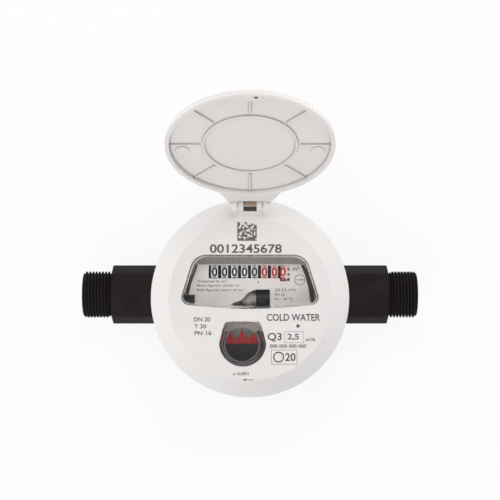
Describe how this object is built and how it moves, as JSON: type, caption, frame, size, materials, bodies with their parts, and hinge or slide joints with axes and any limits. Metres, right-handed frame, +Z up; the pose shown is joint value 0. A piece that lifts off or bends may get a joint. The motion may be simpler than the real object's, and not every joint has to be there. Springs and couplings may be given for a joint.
{
  "type": "water meter",
  "caption": "Inline rotary-piston water meter with a black composite body, threaded ends, white round cover, clear dial windows, number rollers and an open hinged lid.",
  "frame": {"origin": "centre of the flat base under the bowl", "axes": "+X along the pipe from inlet to outlet, +Y toward the lid hinge, +Z up"},
  "size_m": [0.19, 0.1527, 0.1879],
  "materials": {
    "black_composite": "fine moulded grain",
    "white_plastic": "satin moulded white",
    "clear_plastic": "clear moulded",
    "chamber_plastic": "moulded",
    "piston_carbon": "moulded",
    "steel": "drawn",
    "brass_pin": "drawn, dull",
    "magnet": "sintered",
    "seal_rubber": "matt",
    "gear_plastic": "moulded acetal",
    "dial_white": "printed",
    "black_plastic": "moulded",
    "grey_plastic": "moulded",
    "red_plastic": "moulded",
    "grey_metal": "dull",
    "roller_white": "printed with black numbers",
    "roller_pink": "printed with red numbers"
  },
  "bodies": {
    "housing": {"meter_body": "black_composite", "inlet_strainer": "chamber_plastic", "chamber_base": "chamber_plastic", "division_plate": "steel", "chamber_lid": "chamber_plastic", "outlet_seal": "seal_rubber", "pressure_plate": "black_composite", "plate_seal": "seal_rubber", "lock_ring": "black_composite", "register_base": "black_composite", "roller_shaft": "steel", "pinion_shaft": "steel", "mechanism_frame": "dial_white", "dial_plate": "dial_white", "dial_clip": "black_plastic", "lens_seal": "seal_rubber", "register_lens": "clear_plastic", "shroud": "white_plastic", "hinge_pin": "brass_pin"},
    "lid": {"lid": "white_plastic"},
    "driver": {"driver": "gear_plastic", "drive_magnet": "magnet"},
    "piston": {"piston": "piston_carbon"},
    "control_roller": {"control_roller": "gear_plastic"},
    "follower": {"follower_spindle": "gear_plastic", "follower_magnet": "magnet"},
    "transfer": {"transfer_gear": "gear_plastic"},
    "idler": {"idler_gear": "gear_plastic"},
    "indicator": {"indicator_gear": "gear_plastic", "indicator_disc": "red_plastic", "indicator_plate": "grey_metal"},
    "drive_shaft": {"drive_shaft": "steel", "shaft_drum": "black_plastic", "shaft_hub": "grey_plastic", "crown_pinion": "gear_plastic", "end_pinion": "gear_plastic"},
    "roller_1": {"number_roller_1": "roller_pink"},
    "roller_2": {"number_roller_2": "roller_pink"},
    "roller_3": {"number_roller_3": "roller_pink"},
    "roller_4": {"number_roller_4": "roller_white"},
    "roller_5": {"number_roller_5": "roller_white"},
    "roller_6": {"number_roller_6": "roller_white"},
    "roller_7": {"number_roller_7": "roller_white"},
    "roller_8": {"number_roller_8": "roller_white"},
    "carry_1": {"carry_pinion_1": "gear_plastic"},
    "carry_2": {"carry_pinion_2": "gear_plastic"},
    "carry_3": {"carry_pinion_3": "gear_plastic"},
    "carry_4": {"carry_pinion_4": "gear_plastic"},
    "carry_5": {"carry_pinion_5": "gear_plastic"},
    "carry_6": {"carry_pinion_6": "gear_plastic"},
    "carry_7": {"carry_pinion_7": "gear_plastic"}
  },
  "joints": [
    {"name": "lid_hinge", "type": "hinge", "parent": "housing", "child": "lid", "pos_m": [0, 0.049, 0.1055], "axis": [1, 0, 0], "range_deg": [0, 122]},
    {"name": "drive", "type": "hinge", "parent": "housing", "child": "driver", "pos_m": [0, 0, 0.044], "axis": [0, 0, 1], "continuous": true},
    {"name": "piston_turn", "type": "hinge", "parent": "driver", "child": "piston", "pos_m": [0.0034, 0, 0.04], "axis": [0, 0, 1], "continuous": true},
    {"name": "control_roller_spin", "type": "hinge", "parent": "housing", "child": "control_roller", "pos_m": [0, 0, 0.015], "axis": [0, 0, 1], "continuous": true},
    {"name": "follower_spin", "type": "hinge", "parent": "housing", "child": "follower", "pos_m": [0, 0, 0.06], "axis": [0, 0, 1], "continuous": true},
    {"name": "transfer_spin", "type": "hinge", "parent": "housing", "child": "transfer", "pos_m": [-0.0162, 0, 0.063], "axis": [0, 0, 1], "continuous": true},
    {"name": "idler_spin", "type": "hinge", "parent": "housing", "child": "idler", "pos_m": [0.00648, -0.01485, 0.063], "axis": [0, 0, 1], "continuous": true},
    {"name": "indicator_spin", "type": "hinge", "parent": "housing", "child": "indicator", "pos_m": [-0.0043, -0.0244, 0.067], "axis": [0, 0, 1], "continuous": true},
    {"name": "shaft_spin", "type": "hinge", "parent": "housing", "child": "drive_shaft", "pos_m": [0, 0, 0.0777], "axis": [1, 0, 0], "continuous": true},
    {"name": "roller_1_spin", "type": "hinge", "parent": "housing", "child": "roller_1", "pos_m": [0, 0.0139, 0.0777], "axis": [1, 0, 0], "continuous": true},
    {"name": "roller_2_spin", "type": "hinge", "parent": "housing", "child": "roller_2", "pos_m": [0, 0.0139, 0.0777], "axis": [1, 0, 0], "continuous": true},
    {"name": "roller_3_spin", "type": "hinge", "parent": "housing", "child": "roller_3", "pos_m": [0, 0.0139, 0.0777], "axis": [1, 0, 0], "continuous": true},
    {"name": "roller_4_spin", "type": "hinge", "parent": "housing", "child": "roller_4", "pos_m": [0, 0.0139, 0.0777], "axis": [1, 0, 0], "continuous": true},
    {"name": "roller_5_spin", "type": "hinge", "parent": "housing", "child": "roller_5", "pos_m": [0, 0.0139, 0.0777], "axis": [1, 0, 0], "continuous": true},
    {"name": "roller_6_spin", "type": "hinge", "parent": "housing", "child": "roller_6", "pos_m": [0, 0.0139, 0.0777], "axis": [1, 0, 0], "continuous": true},
    {"name": "roller_7_spin", "type": "hinge", "parent": "housing", "child": "roller_7", "pos_m": [0, 0.0139, 0.0777], "axis": [1, 0, 0], "continuous": true},
    {"name": "roller_8_spin", "type": "hinge", "parent": "housing", "child": "roller_8", "pos_m": [0, 0.0139, 0.0777], "axis": [1, 0, 0], "continuous": true},
    {"name": "carry_1_spin", "type": "hinge", "parent": "housing", "child": "carry_1", "pos_m": [0, 0.02119, 0.07158], "axis": [1, 0, 0], "continuous": true},
    {"name": "carry_2_spin", "type": "hinge", "parent": "housing", "child": "carry_2", "pos_m": [0, 0.02119, 0.07158], "axis": [1, 0, 0], "continuous": true},
    {"name": "carry_3_spin", "type": "hinge", "parent": "housing", "child": "carry_3", "pos_m": [0, 0.02119, 0.07158], "axis": [1, 0, 0], "continuous": true},
    {"name": "carry_4_spin", "type": "hinge", "parent": "housing", "child": "carry_4", "pos_m": [0, 0.02119, 0.07158], "axis": [1, 0, 0], "continuous": true},
    {"name": "carry_5_spin", "type": "hinge", "parent": "housing", "child": "carry_5", "pos_m": [0, 0.02119, 0.07158], "axis": [1, 0, 0], "continuous": true},
    {"name": "carry_6_spin", "type": "hinge", "parent": "housing", "child": "carry_6", "pos_m": [0, 0.02119, 0.07158], "axis": [1, 0, 0], "continuous": true},
    {"name": "carry_7_spin", "type": "hinge", "parent": "housing", "child": "carry_7", "pos_m": [0, 0.02119, 0.07158], "axis": [1, 0, 0], "continuous": true}
  ],
  "couplings": [
    {"joint": "piston_turn", "follows": "drive", "ratio": -1},
    {"joint": "control_roller_spin", "follows": "drive", "ratio": 2.125},
    {"joint": "follower_spin", "follows": "drive", "ratio": 1},
    {"joint": "transfer_spin", "follows": "drive", "ratio": -0.35},
    {"joint": "idler_spin", "follows": "drive", "ratio": -0.35},
    {"joint": "indicator_spin", "follows": "drive", "ratio": 0.11667},
    {"joint": "shaft_spin", "follows": "drive", "ratio": -0.46667},
    {"joint": "roller_1_spin", "follows": "drive", "ratio": 0.4},
    {"joint": "roller_2_spin", "follows": "drive", "ratio": 0.04},
    {"joint": "roller_3_spin", "follows": "drive", "ratio": 0.004},
    {"joint": "roller_4_spin", "follows": "drive", "ratio": 0.0004},
    {"joint": "roller_5_spin", "follows": "drive", "ratio": 0.00004},
    {"joint": "roller_6_spin", "follows": "drive", "ratio": 0.000004},
    {"joint": "roller_7_spin", "follows": "drive", "ratio": 0.0000004},
    {"joint": "roller_8_spin", "follows": "drive", "ratio": 0.00000004},
    {"joint": "carry_1_spin", "follows": "drive", "ratio": -0.1},
    {"joint": "carry_2_spin", "follows": "drive", "ratio": -0.01},
    {"joint": "carry_3_spin", "follows": "drive", "ratio": -0.001},
    {"joint": "carry_4_spin", "follows": "drive", "ratio": -0.0001},
    {"joint": "carry_5_spin", "follows": "drive", "ratio": -0.00001},
    {"joint": "carry_6_spin", "follows": "drive", "ratio": -0.000001},
    {"joint": "carry_7_spin", "follows": "drive", "ratio": -0.0000001}
  ]
}
